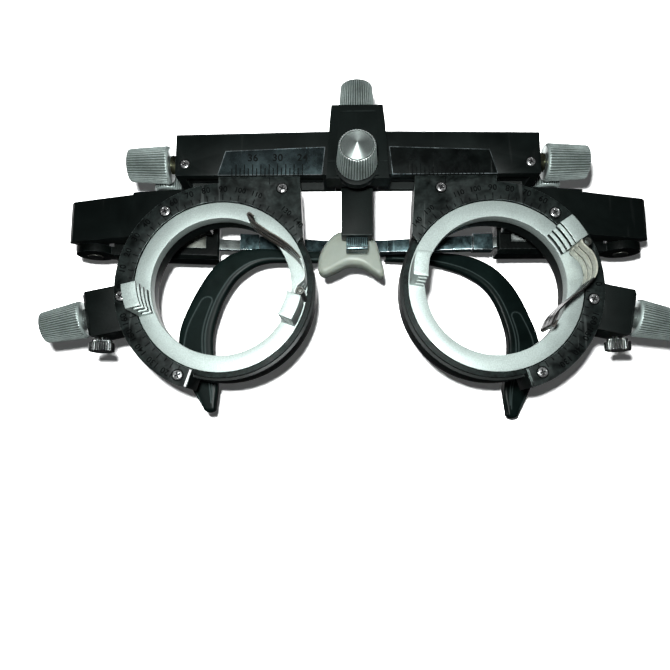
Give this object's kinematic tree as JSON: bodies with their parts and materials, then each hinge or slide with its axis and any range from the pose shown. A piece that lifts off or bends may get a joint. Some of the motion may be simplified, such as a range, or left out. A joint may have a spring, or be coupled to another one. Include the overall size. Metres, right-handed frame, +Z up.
{
  "type": "trial frame",
  "caption": "Adjustable metal-and-plastic spectacle-style frame with two rotating lens cells on a sliding bridge, saddle nose rest and folding ear hooks.",
  "frame": {"origin": "centre of the bounding box of the whole frame at rest; the lens axes cross X = +32.4 mm and -32.4 mm at Z = -12.8 mm, and the cell fronts lie at Y = -14.27 mm", "axes": "+X to the right seen from the front (nodes ending in _R have positive X), +Y away from the front viewer towards the wearer, +Z up"},
  "size_m": [0.155, 0.0626, 0.0834],
  "materials": {
    "black_body": "satin black",
    "black_plate": "black anodised, worn edges",
    "silver_cell": "sand-blasted satin",
    "knob_metal": "knurled satin",
    "steel": "brushed",
    "screw_steel": "polished",
    "chrome": "polished, knurled",
    "brass": "machined",
    "spring": "spring steel",
    "hook_black": "glossy",
    "silicone": "translucent soft white",
    "temple_plastic": "textured black"
  },
  "bodies": {
    "bridge": {"bridge_housing": "black_body", "nose_block": "black_body", "bridge_screws": "screw_steel", "guide_rail_L": "steel", "guide_rail_R": "steel", "pd_scale_plate_L": "black_plate", "pd_scale_plate_R": "black_plate", "temple_bracket_L": "black_body", "temple_bracket_R": "black_body"},
    "carriage_L": {"lens_housing_L": "black_body", "axis_scale_plate_L": "black_plate", "plate_screws_L": "screw_steel", "axis_block_L": "black_body", "pd_nut_L": "brass"},
    "pd_drive_L": {"pd_lead_screw_L": "steel", "pd_knob_L": "knob_metal"},
    "rotor_L": {"lens_cell_ring_L": "silver_cell", "lens_post_a_L": "silver_cell", "lens_post_b_L": "silver_cell"},
    "spring_L": {"lens_spring_L": "spring"},
    "axis_drive_L": {"axis_pinion_shaft_L": "steel", "axis_knob_L": "knob_metal"},
    "lock_L": {"lock_screw_L": "chrome"},
    "tilt_L": {"tilt_block_L": "black_body", "hinge_pin_L": "steel"},
    "tilt_drive_L": {"tilt_knob_L": "knob_metal"},
    "temple_L": {"temple_box_L": "temple_plastic", "temple_insert_L": "steel"},
    "temple_slider_L": {"slide_bar_L": "steel", "sleeve_L": "steel", "ear_hook_L": "hook_black"},
    "carriage_R": {"lens_housing_R": "black_body", "axis_scale_plate_R": "black_plate", "plate_screws_R": "screw_steel", "axis_block_R": "black_body", "pd_nut_R": "brass"},
    "pd_drive_R": {"pd_lead_screw_R": "steel", "pd_knob_R": "knob_metal"},
    "rotor_R": {"lens_cell_ring_R": "silver_cell", "lens_post_a_R": "silver_cell", "lens_post_b_R": "silver_cell"},
    "spring_R": {"lens_spring_R": "spring"},
    "axis_drive_R": {"axis_pinion_shaft_R": "steel", "axis_knob_R": "knob_metal"},
    "lock_R": {"lock_screw_R": "chrome"},
    "tilt_R": {"tilt_block_R": "black_body", "hinge_pin_R": "steel"},
    "tilt_drive_R": {"tilt_knob_R": "knob_metal"},
    "temple_R": {"temple_box_R": "temple_plastic", "temple_insert_R": "steel"},
    "temple_slider_R": {"slide_bar_R": "steel", "sleeve_R": "steel", "ear_hook_R": "hook_black"},
    "depth_slide": {"nose_carrier": "black_body"},
    "depth_drive": {"nose_depth_knob": "knob_metal"},
    "height_slide": {"nose_bar": "black_body", "pad_holder": "steel", "nose_pad": "silicone"},
    "height_drive": {"nose_height_knob": "knob_metal"}
  },
  "joints": [
    {"name": "pupil_distance_L", "type": "slide", "parent": "bridge", "child": "carriage_L", "axis": [-1, 0, 0], "range_m": [-0.0084, 0.0076]},
    {"name": "pd_screw_L", "type": "hinge", "parent": "bridge", "child": "pd_drive_L", "pos_m": [-0.047, -0.00907, 0.0195], "axis": [-1, 0, 0], "range_deg": [-1520, 1380]},
    {"name": "lens_axis_L", "type": "hinge", "parent": "carriage_L", "child": "rotor_L", "pos_m": [-0.0324, -0.01427, -0.0128], "axis": [0, -1, 0], "continuous": true},
    {"name": "axis_knob_turn_L", "type": "hinge", "parent": "carriage_L", "child": "axis_drive_L", "pos_m": [-0.05198, -0.00917, -0.01689], "axis": [-0.9789, 0, -0.2045], "continuous": true},
    {"name": "spring_flex_L", "type": "hinge", "parent": "rotor_L", "child": "spring_L", "pos_m": [-0.01294, -0.01427, -0.01616], "axis": [0, 1, 0], "range_deg": [0, 12], "stiffness_Nm_per_rad": 0.05},
    {"name": "axis_lock_L", "type": "hinge", "parent": "carriage_L", "child": "lock_L", "pos_m": [-0.0618, -0.00917, -0.0258], "axis": [0, 0, 1], "range_deg": [-540, 0]},
    {"name": "temple_tilt_L", "type": "hinge", "parent": "bridge", "child": "tilt_L", "pos_m": [-0.05, 0.00113, 0.0096], "axis": [1, 0, 0], "range_deg": [-8, 8]},
    {"name": "tilt_screw_L", "type": "hinge", "parent": "tilt_L", "child": "tilt_drive_L", "pos_m": [-0.0498, 0.00033, 0.0172], "axis": [0, 0, 1], "range_deg": [-400, 400]},
    {"name": "temple_fold_L", "type": "hinge", "parent": "tilt_L", "child": "temple_L", "pos_m": [-0.072, 0.00973, 0.0062], "axis": [0, 0, 1], "range_deg": [0, 88]},
    {"name": "pupil_distance_R", "type": "slide", "parent": "bridge", "child": "carriage_R", "axis": [1, 0, 0], "range_m": [-0.0084, 0.0076]},
    {"name": "pd_screw_R", "type": "hinge", "parent": "bridge", "child": "pd_drive_R", "pos_m": [0.047, -0.00907, 0.0195], "axis": [1, 0, 0], "range_deg": [-1520, 1380]},
    {"name": "lens_axis_R", "type": "hinge", "parent": "carriage_R", "child": "rotor_R", "pos_m": [0.0324, -0.01427, -0.0128], "axis": [0, 1, 0], "continuous": true},
    {"name": "axis_knob_turn_R", "type": "hinge", "parent": "carriage_R", "child": "axis_drive_R", "pos_m": [0.05198, -0.00917, -0.01689], "axis": [0.9789, 0, -0.2045], "continuous": true},
    {"name": "spring_flex_R", "type": "hinge", "parent": "rotor_R", "child": "spring_R", "pos_m": [0.05069, -0.01427, -0.00534], "axis": [0, -1, 0], "range_deg": [0, 12], "stiffness_Nm_per_rad": 0.05},
    {"name": "axis_lock_R", "type": "hinge", "parent": "carriage_R", "child": "lock_R", "pos_m": [0.0618, -0.00917, -0.0258], "axis": [0, 0, 1], "range_deg": [-540, 0]},
    {"name": "temple_tilt_R", "type": "hinge", "parent": "bridge", "child": "tilt_R", "pos_m": [0.05, 0.00113, 0.0096], "axis": [1, 0, 0], "range_deg": [-8, 8]},
    {"name": "tilt_screw_R", "type": "hinge", "parent": "tilt_R", "child": "tilt_drive_R", "pos_m": [0.0498, 0.00033, 0.0172], "axis": [0, 0, 1], "range_deg": [-400, 400]},
    {"name": "temple_fold_R", "type": "hinge", "parent": "tilt_R", "child": "temple_R", "pos_m": [0.072, 0.00973, 0.0062], "axis": [0, 0, -1], "range_deg": [0, 88]},
    {"name": "temple_length_R", "type": "slide", "parent": "temple_R", "child": "temple_slider_R", "axis": [-1, 0, 0], "range_m": [0, 0.014]},
    {"name": "temple_length_L", "type": "slide", "parent": "temple_L", "child": "temple_slider_L", "axis": [0.9877, 0.1564, 0], "range_m": [-0.004, 0.014]},
    {"name": "nose_depth", "type": "slide", "parent": "bridge", "child": "depth_slide", "axis": [0, 1, 0], "range_m": [-0.0014, 0.0025]},
    {"name": "depth_screw", "type": "hinge", "parent": "bridge", "child": "depth_drive", "pos_m": [-0.0002, -0.02127, 0.0138], "axis": [0, -0.9914, 0.1305], "range_deg": [-920, 520]},
    {"name": "nose_height", "type": "slide", "parent": "depth_slide", "child": "height_slide", "axis": [0, 0, 1], "range_m": [-0.003, 0.004]},
    {"name": "height_screw", "type": "hinge", "parent": "depth_slide", "child": "height_drive", "pos_m": [0, -0.00827, 0.0322], "axis": [0, 0, 1], "range_deg": [-1100, 1460]}
  ],
  "couplings": [
    {"joint": "pd_screw_L", "follows": "pupil_distance_L", "rad_per_m": 3141.6},
    {"joint": "axis_knob_turn_L", "follows": "lens_axis_L", "ratio": -7.5},
    {"joint": "tilt_screw_L", "follows": "temple_tilt_L", "ratio": 45},
    {"joint": "pd_screw_R", "follows": "pupil_distance_R", "rad_per_m": 3141.6},
    {"joint": "axis_knob_turn_R", "follows": "lens_axis_R", "ratio": 7.5},
    {"joint": "tilt_screw_R", "follows": "temple_tilt_R", "ratio": 45},
    {"joint": "temple_fold_R", "follows": "temple_fold_L", "ratio": 1},
    {"joint": "depth_screw", "follows": "nose_depth", "rad_per_m": -6283.2},
    {"joint": "height_screw", "follows": "nose_height", "rad_per_m": 6283.2}
  ]
}
